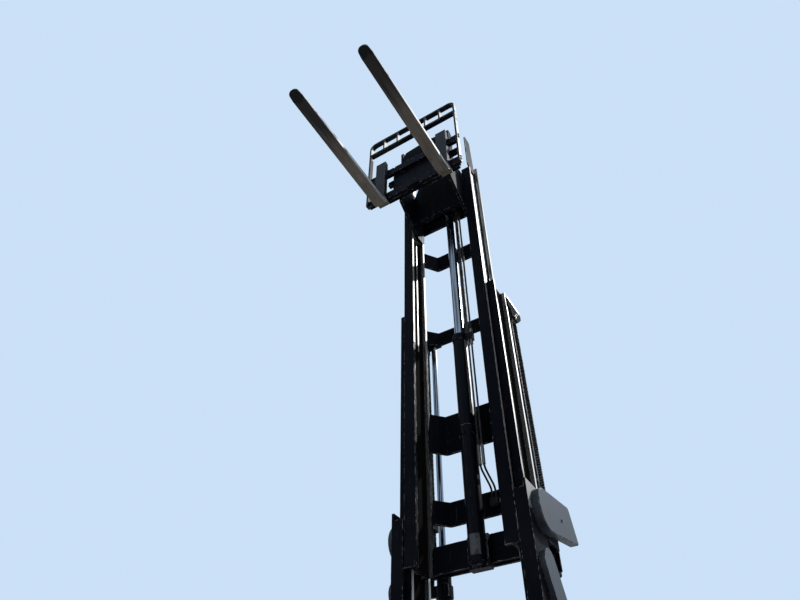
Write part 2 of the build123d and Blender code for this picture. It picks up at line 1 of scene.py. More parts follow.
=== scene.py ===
import bmesh
import bpy
import json
import math
from mathutils import Matrix, Vector
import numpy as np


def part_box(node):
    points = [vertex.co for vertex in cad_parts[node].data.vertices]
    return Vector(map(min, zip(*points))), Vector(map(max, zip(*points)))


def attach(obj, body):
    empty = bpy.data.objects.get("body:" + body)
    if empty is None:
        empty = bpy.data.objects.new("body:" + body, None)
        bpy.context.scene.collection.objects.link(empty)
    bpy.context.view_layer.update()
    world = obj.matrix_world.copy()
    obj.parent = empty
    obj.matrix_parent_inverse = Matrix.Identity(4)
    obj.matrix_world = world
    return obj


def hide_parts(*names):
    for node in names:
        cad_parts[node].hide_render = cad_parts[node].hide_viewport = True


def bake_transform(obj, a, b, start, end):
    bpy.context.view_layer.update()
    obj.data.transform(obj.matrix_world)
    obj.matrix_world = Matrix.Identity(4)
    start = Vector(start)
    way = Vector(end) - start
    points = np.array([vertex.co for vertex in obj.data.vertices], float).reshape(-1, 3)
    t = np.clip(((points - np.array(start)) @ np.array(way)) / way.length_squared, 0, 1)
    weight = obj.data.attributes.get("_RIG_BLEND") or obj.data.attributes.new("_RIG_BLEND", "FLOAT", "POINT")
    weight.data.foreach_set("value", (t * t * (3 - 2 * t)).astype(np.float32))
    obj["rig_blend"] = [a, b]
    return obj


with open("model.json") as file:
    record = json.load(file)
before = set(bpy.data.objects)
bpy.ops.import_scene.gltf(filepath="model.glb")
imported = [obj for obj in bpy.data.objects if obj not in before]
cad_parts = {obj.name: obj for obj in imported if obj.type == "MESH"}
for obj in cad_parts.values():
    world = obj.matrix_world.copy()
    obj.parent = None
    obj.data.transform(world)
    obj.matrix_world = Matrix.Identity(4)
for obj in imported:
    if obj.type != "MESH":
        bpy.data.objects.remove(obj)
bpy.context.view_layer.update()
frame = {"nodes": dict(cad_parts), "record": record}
scene = bpy.context.scene
nodes = frame["nodes"]
slotOf = {part["node"]: part["material_slot"] for part in frame["record"]["subparts"]}
scene.view_settings.view_transform = "Standard"
print("stage: frame loaded")

# Camera: stands in front and to the right at eye height and looks up at the raised mast
cameraSettings = {"place": (1.334, -2.9155, 1.536), "pitch": 44.90, "roll": 0.516, "yaw": 32.20,
                  "lens": 27.19, "sensor": 36.0, "clipEnd": 200.0}


def addCamera(settings):
    data = bpy.data.cameras.new("camera")
    data.lens = settings["lens"]
    data.sensor_width = settings["sensor"]
    data.clip_end = settings["clipEnd"]
    camera = bpy.data.objects.new("camera", data)
    scene.collection.objects.link(camera)
    camera.matrix_world = Matrix.Translation(settings["place"])
    for angle, axis in ((settings["yaw"], "Z"), (settings["pitch"] + 90, "X"), (settings["roll"], "Z")):
        camera.matrix_world = camera.matrix_world @ Matrix.Rotation(math.radians(angle), 4, axis)
    scene.camera = camera


addCamera(cameraSettings)


class Wire:
    # One socket of a node tree: sums and products of wires add their Math nodes
    def __init__(self, graph, socket):
        self.graph = graph
        self.socket = socket

    def __add__(self, other):
        return self.graph.maths("ADD", self, other)

    def __radd__(self, other):
        return self.graph.maths("ADD", other, self)

    def __sub__(self, other):
        return self.graph.maths("SUBTRACT", self, other)

    def __rsub__(self, other):
        return self.graph.maths("SUBTRACT", other, self)

    def __mul__(self, other):
        return self.graph.maths("MULTIPLY", self, other)

    def __rmul__(self, other):
        return self.graph.maths("MULTIPLY", other, self)

    def __truediv__(self, other):
        return self.graph.maths("DIVIDE", self, other)

    def __pow__(self, other):
        return self.graph.maths("POWER", self, other)

    def __abs__(self):
        return self.graph.maths("ABSOLUTE", self)


class Graph:
    # A node tree that is built from node types, their settings and the values or wires of their sockets
    def __init__(self, tree):
        self.tree = tree

    def add(self, kind, settings=None, sockets=None):
        made = self.tree.nodes.new(kind)
        for key, value in (settings or {}).items():
            setattr(made, key, value)
        for key, value in (sockets or {}).items():
            for item in value if isinstance(value, list) else [value]:
                if isinstance(item, Wire):
                    self.tree.links.new(item.socket, made.inputs[key])
                else:
                    made.inputs[key].default_value = item
        return made

    def wire(self, kind, settings=None, sockets=None, output=0):
        return Wire(self, self.add(kind, settings, sockets).outputs[output])

    def maths(self, operation, *values):
        return self.wire("ShaderNodeMath", {"operation": operation}, dict(enumerate(values)))

    def most(self, value, *others):
        for other in others:
            value = self.maths("MAXIMUM", value, other)
        return value

    def ramp(self, value, low, high):
        sockets = {"Value": value, "From Min": low, "From Max": high}
        return self.wire("ShaderNodeMapRange", {"interpolation_type": "SMOOTHSTEP", "clamp": True}, sockets)

    def mix(self, factor, first, second):
        # Sockets 6, 7 and 2 are the ones for colours
        return self.wire("ShaderNodeMix", {"data_type": "RGBA"}, {0: factor, 6: first, 7: second}, 2)

    def split(self, vector):
        parts = self.add("ShaderNodeSeparateXYZ", None, {0: vector})
        return [Wire(self, parts.outputs[number]) for number in range(3)]

    def join(self, **sockets):
        return self.wire("ShaderNodeCombineXYZ", None, sockets)

    def noise(self, vector, scale, detail=3.0, stretch=(1.0, 1.0, 1.0)):
        placed = self.wire("ShaderNodeMapping", None, {"Vector": vector, "Scale": stretch})
        return self.wire("ShaderNodeTexNoise", None, {"Vector": placed, "Scale": scale, "Detail": detail})

    def cylinder(self, sides, radius, depth, rings=1):
        sockets = {"Vertices": sides, "Side Segments": rings, "Radius": radius, "Depth": depth}
        return self.wire("GeometryNodeMeshCylinder", {"fill_type": "NGON"}, sockets)

    def mark(self, name, kind):
        return self.wire("GeometryNodeInputNamedAttribute", {"data_type": kind}, {"Name": name})

    def turned(self, angles):
        return self.wire("FunctionNodeEulerToRotation", None, {0: angles})


# Light: a high key lamp behind on the right, and a pale surround that lights the rest softly
lightSettings = {
    "keyFrom": (0.40, 0.60, 0.69),
    "keyLevel": 3.0,
    "keySpread": 2.5,
    "surround": (0.62, 0.74, 0.90, 1.0),
    "surroundLevel": 0.30,
    "backdrop": (0.60, 0.75, 0.93, 1.0),
    "backdropLevel": 1.0,
}


def addLight(settings):
    data = bpy.data.lights.new("key", "SUN")
    data.energy = settings["keyLevel"]
    data.angle = math.radians(settings["keySpread"])
    lamp = bpy.data.objects.new("key", data)
    scene.collection.objects.link(lamp)
    lamp.rotation_euler = (-Vector(settings["keyFrom"])).to_track_quat("-Z", "Y").to_euler()
    world = bpy.data.worlds.new("surround")
    scene.world = world
    world.use_nodes = True
    world.node_tree.nodes.clear()
    graph = Graph(world.node_tree)
    path = graph.add("ShaderNodeLightPath")
    kinds = ("Is Camera Ray", "Is Glossy Ray", "Is Transmission Ray")
    camera, glossy, clear = (Wire(graph, path.outputs[kind]) for kind in kinds)
    seen = graph.most(camera, glossy, clear)
    soft = graph.wire("ShaderNodeBackground", None, {0: settings["surround"], 1: settings["surroundLevel"]})
    pale = graph.wire("ShaderNodeBackground", None, {0: settings["backdrop"], 1: settings["backdropLevel"]})
    mixed = graph.wire("ShaderNodeMixShader", None, {0: seen, 1: soft, 2: pale})
    graph.add("ShaderNodeOutputWorld", None, {0: mixed})


addLight(lightSettings)
print("stage: camera and light")


# Finishes: each starts from the piece's own coordinates and the way its surface faces
def startLook(name, level):
    material = bpy.data.materials.new(name)
    material.use_nodes = True
    material.node_tree.nodes.clear()
    graph = Graph(material.node_tree)
    shader = graph.add("ShaderNodeBsdfPrincipled")
    shader.inputs["Specular IOR Level"].default_value = level
    graph.add("ShaderNodeOutputMaterial", None, {0: Wire(graph, shader.outputs[0])})
    point = graph.wire("ShaderNodeTexCoord", None, None, "Object")
    facing = graph.split(graph.wire("ShaderNodeNewGeometry", None, None, "Normal"))
    return material, graph, shader, point, facing


def finishLook(graph, shader, colour, roughness, metal=0.0, height=None, bump=None):
    # Bump: its strength, and how far the height moves the surface
    for key, value in {"Base Color": colour, "Roughness": roughness, "Metallic": metal}.items():
        if isinstance(value, Wire):
            graph.tree.links.new(value.socket, shader.inputs[key])
        else:
            shader.inputs[key].default_value = value
    if height is not None:
        strength, distance = bump
        raised = graph.wire("ShaderNodeBump", None, {
            "Strength": strength, "Distance": distance, "Height": height})
        graph.tree.links.new(raised.socket, shader.inputs["Normal"])


# Bands are the two values between which a mask goes from none to all
sideBand = (0.80, 0.95)  # of how squarely a face looks along an axis
edgeSettings = {"samples": 4, "band": (0.01, 0.10), "breaks": (0.46, 0.60), "detail": 4.0}


def edgeMask(graph, point, radius, scale, settings):
    # Where a rounded copy of the surface would turn away from it, broken up so that edges wear unevenly
    rounded = graph.wire("ShaderNodeBevel", {"samples": settings["samples"]}, {"Radius": radius})
    flat = graph.wire("ShaderNodeNewGeometry", None, None, "Normal")
    along = graph.wire("ShaderNodeVectorMath", {"operation": "DOT_PRODUCT"}, {0: rounded, 1: flat}, "Value")
    edge = graph.ramp(1.0 - along, *settings["band"])
    return edge * graph.ramp(graph.noise(point, scale, settings["detail"]), *settings["breaks"])


# Paint: satin black over steel, a little dusty on top, weeping rust in streaks and worn at its edges
paintSettings = {
    "colour": (0.0022, 0.0028, 0.0055, 1.0),
    "faded": (0.0055, 0.0062, 0.0090, 1.0),
    "dust": (0.085, 0.075, 0.062, 1.0),
    "rust": (0.060, 0.026, 0.013, 1.0),
    "steel": (0.50, 0.49, 0.46, 1.0),
    "grease": (0.0048, 0.0038, 0.0034, 1.0),
    "gloss": 0.03,
    "roughness": 0.40,
    "edge": 0.0030,
    "edgeScale": 38.0,
    "rubbedAndGlint": 0.0,  # share of bare steel on faces that look sideways: partly rubbing, partly a painted highlight where the key lamp glints
    "rightBand": (0.0, 0.10),  # in x, where they are bare at every height: the key lamp's side
    "highBand": (6.28, 6.34),  # heights, over which they are bare on both sides: the top bar
    "broadScale": 2.1,
    "mottledScale": 23.0,
    "peelScale": 420.0,
    "streakStretch": (55.0, 55.0, 2.2),
    "scratchStretch": (260.0, 260.0, 5.0),
    "smearStretch": (90.0, 90.0, 3.0),
    "fadedBand": (0.42, 0.70),
    "upBand": (0.25, 0.85),
    "dustBand": (0.30, 0.62),
    "filmBand": (0.52, 0.78),
    "weepBands": ((0.60, 0.72), (0.45, 0.60)),
    "scratchBand": (0.70, 0.74),
    "rubbedAndGlintBand": (0.72, 0.60),
    "dullBand": (0.45, 0.75),
    "smearBand": (0.56, 0.68),
    "dustShare": 0.75,
    "filmShare": 0.035,
    "weepShare": 0.45,
    "wornShare": 0.85,
    "scratchShare": 0.10,
    "wornMetal": 0.8,
    "stripMetal": 0.9,
    "rubbedAndGlintRoughness": 0.55,
    "smearAdds": 0.10,
    "rougher": (0.12, 0.22, 0.16),  # by the broad pattern, by dust and by streaks
    "relief": (0.35, 0.5, 0.6),  # height of the peel and of the mottling, and depth of worn edges
    "bump": (0.10, 0.0006),
}
trackAndGlintSoft = (0.0005, 0.001, 0.002)  # width of a strip's soft ends in x, y and z, for tracks and painted highlights alike


def trackAndGlintMask(graph, place, facing, stripRow):
    # A strip of a piece and its mirror image at x = 0, with soft ends: a roller track, a grease strip, or a
    # painted highlight of bright steel
    x, y, z = place
    mask = graph.ramp(abs(facing[stripRow[3]]), *sideBand)
    for value, band, soft in zip((abs(x), y, z), stripRow, trackAndGlintSoft):
        if band:
            low, high = band
            mask = mask * graph.ramp(value, low - soft, low) * graph.ramp(value, high + soft, high)
    return mask


def paintLook(name, settings, tracksAndGlints=()):
    material, graph, shader, point, facing = startLook(name, settings["gloss"])
    place = graph.split(point)
    broad = graph.noise(point, settings["broadScale"])
    mottled = graph.noise(point, settings["mottledScale"], 5.0)
    peel = graph.noise(point, settings["peelScale"], 2.0)
    streaks = graph.noise(point, 1.0, 4.0, settings["streakStretch"])
    scratches = graph.ramp(graph.noise(point, 1.0, 2.0, settings["scratchStretch"]), *settings["scratchBand"])
    smear = graph.ramp(graph.noise(point, 1.0, 4.0, settings["smearStretch"]), *settings["smearBand"])
    colour = graph.mix(graph.ramp(broad, *settings["fadedBand"]), settings["colour"], settings["faded"])
    upward = graph.ramp(facing[2], *settings["upBand"]) * graph.ramp(mottled, *settings["dustBand"])
    film = graph.ramp(mottled, *settings["filmBand"]) * settings["filmShare"]
    colour = graph.mix(upward * settings["dustShare"] + film, colour, settings["dust"])
    inStreaks, inPatches = settings["weepBands"]
    weeping = graph.ramp(streaks, *inStreaks) * graph.ramp(mottled, *inPatches) * settings["weepShare"]
    colour = graph.mix(weeping, colour, settings["rust"])
    worn = edgeMask(graph, point, settings["edge"], settings["edgeScale"], edgeSettings)
    # Bare steel on faces looking sideways, on the key lamp's side and along the top bar: partly rubbing,
    # partly a painted highlight
    onRight = graph.ramp(place[0], *settings["rightBand"])
    handledAndGlinting = graph.most(onRight, graph.ramp(place[2], *settings["highBand"]))
    sideways = graph.ramp(abs(facing[0]), *sideBand)
    sides = sideways * graph.ramp(mottled, *settings["rubbedAndGlintBand"]) * handledAndGlinting * settings["rubbedAndGlint"]
    worn = graph.most(worn, sides)
    bare = graph.most(worn * settings["wornShare"], scratches * settings["scratchShare"])
    colour = graph.mix(bare, colour, settings["steel"])
    dull = graph.ramp(streaks, *settings["dullBand"])
    byPattern, byDust, byStreaks = settings["rougher"]
    roughness = settings["roughness"] + byPattern * broad + byDust * upward + byStreaks * dull
    roughness = roughness * (1.0 - sides) + settings["rubbedAndGlintRoughness"] * sides
    metal = worn * settings["wornMetal"]
    # Strips of bright steel and grease: roller tracks, and painted highlights where the key lamp glints
    for stripRow in tracksAndGlints:
        shine, stripRoughness = stripRow[4:]
        rolledAndGlinting = trackAndGlintMask(graph, place, facing, stripRow)
        greasy = graph.most(smear, 1.0 - shine)
        colour = graph.mix(rolledAndGlinting, colour, graph.mix(greasy, settings["steel"], settings["grease"]))
        metal = metal * (1.0 - rolledAndGlinting) + rolledAndGlinting * (1.0 - greasy) * settings["stripMetal"]
        roughness = roughness * (1.0 - rolledAndGlinting) + rolledAndGlinting * (stripRoughness + settings["smearAdds"] * smear)
    peelHigh, mottledHigh, wornDeep = settings["relief"]
    height = peel * peelHigh + mottled * mottledHigh - worn * wornDeep
    finishLook(graph, shader, colour, roughness, metal, height, settings["bump"])
    return material


# Covers and stay bars: the black paint made lighter and bluer to stand for their lit faces, painted light
coverLitSettings = {**paintSettings, "colour": (0.011, 0.015, 0.024, 1.0), "faded": (0.018, 0.024, 0.036, 1.0),
                 "gloss": 0.35}
# The backrest's bare sides are partly rubbing and partly a painted highlight where the key lamp glints
backrestSettings = {**paintSettings, "rubbedAndGlint": 1.0, "gloss": 0.10}
castSettings = {**paintSettings, "roughness": 0.75, "gloss": 0.02}
cylinderSettings = {**paintSettings, "roughness": 0.30, "gloss": 0.05}

# Tracks and glints: strips of bright steel or grease. On faces along y they are where rollers and slide pads
# keep the steel bare; most bright strips on faces along x are painted highlights where the key lamp glints,
# and their height bands leave the faces dark below as painted shadow.
# Columns: from and to in |x|, in y and in z, where None is the whole height, then the axis that the face
# looks along, the share of bright steel and the roughness
alongX, alongY = 0, 1
wholeInner = (-0.2085, -0.0585)
wholeMid = (-0.1695, -0.0145)
# Heights where the key lamp lights the inner upright's web; below them its bright strips stay dark, a painted
# shadow
innerLitHeights = (4.25, 6.12)
tracksAndGlints = {
    "outer_upright": (
        ((0.328, 0.374), (-0.2155, -0.0595), None, alongY, 1.0, 0.25),
        # painted highlight: bright steel high on the outer face, where the key lamp lights it beside the
        # cover
        ((0.394, 0.396), (-0.2360, -0.0390), (2.90, 3.06), alongX, 0.6, 0.60),
    ),
    "mid_upright": (
        ((0.299, 0.320), wholeMid, None, alongY, 1.0, 0.25),
        ((0.348, 0.369), wholeMid, None, alongY, 1.0, 0.25),
        ((0.326, 0.342), wholeMid, None, alongX, 0.0, 1.0),
        # painted highlights: bright steel on the flange toes, where the key lamp glints
        ((0.296, 0.2975), (-0.1900, 0.0060), None, alongX, 0.9, 0.50),
        ((0.3705, 0.372), (-0.1900, 0.0060), None, alongX, 1.0, 0.54),
    ),
    "inner_upright": (
        ((0.247, 0.268), wholeInner, None, alongY, 1.0, 0.25),
        ((0.296, 0.318), wholeInner, None, alongY, 1.0, 0.25),
        ((0.274, 0.276), wholeInner, None, alongX, 0.0, 1.0),
        # the web's two lines: partly worn edges of the side rollers' track, kept bright only over the heights
        # the key lamp lights; the dimmer length below is painted shade
        ((0.274, 0.276), (-0.1850, -0.1740), innerLitHeights, alongX, 0.9, 0.46),
        ((0.274, 0.276), (-0.1160, -0.1050), innerLitHeights, alongX, 0.8, 0.46),
        ((0.274, 0.276), (-0.1850, -0.1790), (2.76, 4.23), alongX, 0.4, 0.40),
        ((0.288, 0.290), wholeInner, None, alongX, 0.0, 1.0),
        # painted highlight: the broad band of the web that the key lamp lights between the flanges' shadows
        ((0.288, 0.290), (-0.1230, -0.0800), None, alongX, 1.0, 0.50),
        # painted highlights: bright steel on the flange toes, where the key lamp glints
        ((0.244, 0.2455), (-0.2290, -0.0380), innerLitHeights, alongX, 0.6, 0.50),
        ((0.3195, 0.321), (-0.2290, -0.2070), None, alongX, 0.6, 0.50),
        ((0.3195, 0.321), (-0.0600, -0.0380), None, alongX, 0.3, 0.50),
    ),
    # painted highlight: the lit right limb of the free-lift tube
    "free_lift_tube": (((0.078, 0.087), (-0.1150, -0.0700), (3.62, 4.20), alongX, 0.8, 0.45),),
    # painted highlight: a bright band along the top of the crosshead's outer face, where the key lamp lights
    # it
    "crosshead": (((0.378, 0.382), (-0.0400, 0.3400), (4.540, 4.580), alongX, 0.9, 0.50),),
}

# Fork steel: bare and rusty underneath, paint left at the tip, the heel and the shank, sides rubbed bright
forkSettings = {
    "bare": (0.085, 0.077, 0.066, 1.0),
    "pale": (0.140, 0.128, 0.112, 1.0),
    "rust": (0.075, 0.034, 0.016, 1.0),
    "steel": (0.50, 0.49, 0.46, 1.0),
    "paint": (0.003, 0.003, 0.005, 1.0),
    "gloss": 0.15,
    "tipBand": (-1.36, -1.42),
    "fadeBand": (-0.55, -1.10),
    "heelBand": (-0.42, -0.36),
    "shankBand": (5.57, 5.60),
    "streakStretch": (70.0, 2.4, 70.0),
    "patchScale": 7.0,
    "grainScale": 160.0,
    "paleBand": (0.35, 0.65),
    "rustBands": ((0.50, 0.66), (0.38, 0.60)),
    "topBands": ((0.2, 0.5), (0.62, 0.50)),
    "sideBreaks": (0.70, 0.58),
    "breaks": (0.22, 0.10),  # how far patches and streaks move the paint's edge at the tip
    "heelBreaks": 0.4,  # share of that at the heel
    "fadeBreaks": 0.7,
    "fadeShare": 0.85,
    "rustShare": 0.85,
    "wornShare": 0.8,
    "edge": 0.004,
    "edgeScale": 30.0,
    "roughness": 0.46,
    "rougher": (0.18, 0.08, 0.06),  # by patches, less by paint, and by rubbing
    "metals": (0.9, 0.20),  # of rubbed sides and of bare steel
    "relief": (0.6, 0.6, 0.2),  # height of the grain and of streaks, and depth of paint
    "bump": (0.22, 0.0010),
}


def forkLook(name, settings):
    material, graph, shader, point, facing = startLook(name, settings["gloss"])
    x, y, z = graph.split(point)
    streaks = graph.noise(point, 1.0, 5.0, settings["streakStretch"])
    patches = graph.noise(point, settings["patchScale"], 5.0)
    grain = graph.noise(point, settings["grainScale"], 4.0)
    colour = graph.mix(graph.ramp(streaks, *settings["paleBand"]), settings["bare"], settings["pale"])
    inStreaks, inPatches = settings["rustBands"]
    rusty = graph.ramp(streaks, *inStreaks) * graph.ramp(patches, *inPatches)
    colour = graph.mix(rusty * settings["rustShare"], colour, settings["rust"])
    byPatches, byStreaks = settings["breaks"]
    broken = patches * byPatches + streaks * byStreaks
    tip = graph.ramp(y + broken, *settings["tipBand"])
    faded = graph.ramp(y + streaks * settings["fadeBreaks"], *settings["fadeBand"])
    tip = graph.most(tip, faded * settings["fadeShare"])
    heel = graph.ramp(y + broken * settings["heelBreaks"], *settings["heelBand"])
    shank = graph.ramp(z, *settings["shankBand"])
    looksUp, leftOn = settings["topBands"]
    onTop = graph.ramp(facing[2], *looksUp) * graph.ramp(patches, *leftOn)
    painted = graph.most(tip, heel, shank, onTop)
    colour = graph.mix(painted, colour, settings["paint"])
    worn = edgeMask(graph, point, settings["edge"], settings["edgeScale"], edgeSettings)
    sideways = graph.ramp(abs(facing[0]), *sideBand)
    sides = sideways * (1.0 - shank) * graph.ramp(patches, *settings["sideBreaks"])
    colour = graph.mix(graph.most(worn * settings["wornShare"], sides), colour, settings["steel"])
    byPatches, byPaint, byRubbing = settings["rougher"]
    roughness = settings["roughness"] + byPatches * patches - byPaint * painted + byRubbing * sides
    rubbedMetal, bareMetal = settings["metals"]
    metal = graph.most(sides * rubbedMetal, (1.0 - painted) * (1.0 - rusty) * bareMetal)
    grainHigh, streaksHigh, paintDeep = settings["relief"]
    height = grain * grainHigh + streaks * streaksHigh - painted * paintDeep
    finishLook(graph, shader, colour, roughness, metal, height, settings["bump"])
    return material


# Bare steels: dirt lies where the pattern is over dirtFrom, and adds to the roughness
steelSettings = {
    "chromeRod": {"colour": (0.26, 0.29, 0.33, 1.0), "dirt": (0.12, 0.10, 0.08, 1.0), "metal": 1.0,
                  "roughness": 0.16, "added": 0.22, "dirtFrom": 0.60, "scale": 1.0, "bump": (0.02, 0.0005),
                  "stretch": (40.0, 40.0, 1.2)},
    "chainSteel": {"colour": (0.060, 0.051, 0.042, 1.0), "dirt": (0.010, 0.008, 0.006, 1.0), "metal": 0.45,
                   "roughness": 0.54, "added": 0.30, "dirtFrom": 0.46, "scale": 60.0, "bump": (0.20, 0.0005)},
    "bearingSteel": {"colour": (0.34, 0.33, 0.32, 1.0), "dirt": (0.030, 0.021, 0.014, 1.0), "metal": 0.95,
                     "roughness": 0.24, "added": 0.25, "dirtFrom": 0.50, "scale": 28.0,
                     "bump": (0.10, 0.0005)},
    "plateSteel": {"colour": (0.060, 0.060, 0.064, 1.0), "dirt": (0.020, 0.017, 0.015, 1.0), "metal": 0.35,
                   "roughness": 0.50, "added": 0.20, "dirtFrom": 0.48, "scale": 34.0, "bump": (0.05, 0.0005),
                   "stretch": (1.0, 1.0, 0.5)},
    "fastenerSteel": {"colour": (0.19, 0.18, 0.165, 1.0), "dirt": (0.10, 0.045, 0.020, 1.0), "metal": 0.85,
                      "roughness": 0.34, "added": 0.24, "dirtFrom": 0.56, "scale": 90.0,
                      "bump": (0.15, 0.0005)},
}


# Fine grain of all the steels, how softly dirt begins on them and how much metal it hides
grainSettings = {"scale": 240.0, "detail": 3.0, "stretch": (1.0, 1.0, 0.25), "added": 0.08, "dirtSoft": 0.12,
                 "hidden": 0.7}


def steelLook(name, settings, grain):
    material, graph, shader, point, facing = startLook(name, 0.5)
    broad = graph.noise(point, settings["scale"], 4.0, settings.get("stretch", (1.0, 1.0, 1.0)))
    fine = graph.noise(point, grain["scale"], grain["detail"], grain["stretch"])
    dirty = graph.ramp(broad, settings["dirtFrom"], settings["dirtFrom"] + grain["dirtSoft"])
    colour = graph.mix(dirty, settings["colour"], settings["dirt"])
    roughness = settings["roughness"] + settings["added"] * dirty + grain["added"] * fine
    metal = settings["metal"] * (1.0 - grain["hidden"] * dirty)
    finishLook(graph, shader, colour, roughness, metal, fine + broad, settings["bump"])
    return material


hoseSettings = {"colour": (0.011, 0.011, 0.012, 1.0), "dusty": (0.050, 0.046, 0.040, 1.0), "gloss": 0.30,
                "wrap": 520.0, "wrapAcross": 900.0, "clothHigh": 0.4, "dirtScale": 40.0,
                "dustBand": (0.48, 0.70), "roughness": 0.52, "added": 0.25, "bump": (0.25, 0.0008)}


def hoseLook(name, settings):
    material, graph, shader, point, facing = startLook(name, settings["gloss"])
    x, y, z = graph.split(point)
    cloth = graph.maths("SINE", z * settings["wrap"] + x * settings["wrapAcross"])
    dirt = graph.noise(point, settings["dirtScale"], 4.0)
    colour = graph.mix(graph.ramp(dirt, *settings["dustBand"]), settings["colour"], settings["dusty"])
    roughness = settings["roughness"] + settings["added"] * dirt
    finishLook(graph, shader, colour, roughness, 0.0, cloth * settings["clothHigh"] + dirt, settings["bump"])
    return material


steels = {name: steelLook(name, settings, grainSettings) for name, settings in steelSettings.items()}
looks = {  # by the record's slot
    "black_paint": paintLook("blackPaint", paintSettings),
    "fork_steel": forkLook("forkSteel", forkSettings),
    "chrome_rod": steels["chromeRod"],
    "chain_steel": steels["chainSteel"],
    "bearing_steel": steels["bearingSteel"],
    "hose_rubber": hoseLook("hoseRubber", hoseSettings),
}
coverLitLook = paintLook("coverLitPaint", coverLitSettings)
cylinderLook = paintLook("cylinderPaint", cylinderSettings, tracksAndGlints["free_lift_tube"])
ownLooks = {  # by the start of a node's name, in place of the slot's look
    "shoulder_cover": coverLitLook,
    "stay_bars": coverLitLook,
    "load_backrest": paintLook("backrestPaint", backrestSettings),
    "crosshead": paintLook("castPaint", castSettings, tracksAndGlints["crosshead"]),
    "lift_tube": cylinderLook,
    "free_lift_tube": cylinderLook,
}
for stage in ("outer", "mid", "inner"):
    start = stage + "_upright"
    ownLooks[start] = paintLook(stage + "StagePaint", paintSettings, tracksAndGlints[start])
for name, node in nodes.items():
    own = [look for start, look in ownLooks.items() if name.startswith(start)]
    node.data.materials.clear()
    node.data.materials.append(own[0] if own else looks[slotOf[name]])
print("stage: finishes")


def roundOff(mesh, angle):
    # Smooth shading, with the edges over an angle kept sharp
    mesh.polygons.foreach_set("use_smooth", [True] * len(mesh.polygons))
    mesh.set_sharp_from_angle(angle=math.radians(angle))


def fullTurn(count):
    return [2 * math.pi * number / count for number in range(count)]


class Shape:
    # Closed solids, as lists of corners and faces, that become one piece
    def __init__(self):
        self.corners = []
        self.faces = []

    def grid(self, rings, closed):
        # Rings of equally many corners joined into a skin, closed on itself or capped at both ends
        start = len(self.corners)
        size = len(rings[0])
        for ring in rings:
            self.corners += [tuple(corner) for corner in ring]
        last = len(rings) if closed else len(rings) - 1
        for row in range(last):
            after = (row + 1) % len(rings)
            for number in range(size):
                beside = (number + 1) % size
                corners = ((row, number), (row, beside), (after, beside), (after, number))
                self.faces.append([start + place * size + corner for place, corner in corners])
        if not closed:
            self.faces.append([start + number for number in range(size)])
            self.faces.append([start + (len(rings) - 1) * size + number for number in range(size)])

    def lathe(self, place, profile, sides, axis=2):
        # A closed profile of (radius, along) turned about an axis
        rings = []
        for angle in fullTurn(sides):
            ring = []
            for radius, along in profile:
                local = (radius * math.cos(angle), radius * math.sin(angle), along)
                turned = (local[2], local[0], local[1]) if axis == 0 else local
                ring.append(Vector(place) + Vector(turned))
            rings.append(ring)
        self.grid(rings, True)

    def tube(self, points, radii, sides):
        # A skin that follows points in a plane of constant x
        rings = []
        across = Vector((1, 0, 0))
        for number, point in enumerate(points):
            before = Vector(points[max(number - 1, 0)])
            after = Vector(points[min(number + 1, len(points) - 1)])
            other = (after - before).normalized().cross(across)
            rings.append([Vector(point) + radii[number] * (math.cos(angle) * across + math.sin(angle) * other)
                          for angle in fullTurn(sides)])
        self.grid(rings, False)

    def plate(self, outline, span):
        # An outline of (y, z) pushed along x from one value to another
        self.grid([[(x, y, z) for y, z in outline] for x in span], False)

    def mesh(self, name, look, sharpAngle=35.0):
        # The faces are turned outwards
        solid = bmesh.new()
        placed = [solid.verts.new(corner) for corner in self.corners]
        for face in self.faces:
            solid.faces.new([placed[number] for number in face])
        bmesh.ops.recalc_face_normals(solid, faces=solid.faces)
        mesh = bpy.data.meshes.new(name)
        solid.to_mesh(mesh)
        solid.free()
        roundOff(mesh, sharpAngle)
        mesh.materials.append(look)
        return mesh


def addPiece(name, mesh, body=None):
    piece = bpy.data.objects.new(name, mesh)
    scene.collection.objects.link(piece)
    if body:
        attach(piece, body)
    return piece


# Geometry Nodes: trees that put shapes on points or along paths. An input takes the setting beside its label
def startTree(name, inputs, settings):
    tree = bpy.data.node_groups.new(name, "GeometryNodeTree")
    for way in ("INPUT", "OUTPUT"):
        tree.interface.new_socket(name="Geometry", in_out=way, socket_type="NodeSocketGeometry")
    keys = {}
    for label, setting in inputs.items():
        kind = "NodeSocketInt" if isinstance(settings[setting], int) else "NodeSocketFloat"
        keys[setting] = tree.interface.new_socket(name=label, in_out="INPUT", socket_type=kind).identifier
    finish = tree.interface.new_socket(name="Finish", in_out="INPUT", socket_type="NodeSocketMaterial")
    keys["finish"] = finish.identifier
    graph = Graph(tree)
    source = graph.add("NodeGroupInput")
    wires = {socket.name: Wire(graph, socket) for socket in source.outputs if socket.name}
    return graph, wires, keys


def endTree(graph, wires, geometry):
    real = graph.wire("GeometryNodeRealizeInstances", None, {"Geometry": geometry})
    dressed = graph.wire("GeometryNodeSetMaterial", None, {"Geometry": real, "Material": wires["Finish"]})
    graph.add("NodeGroupOutput", None, {0: dressed})


pointMarks = ("turn", "pin", "facing", "size")  # what the points carry, which the finished mesh doesn't need


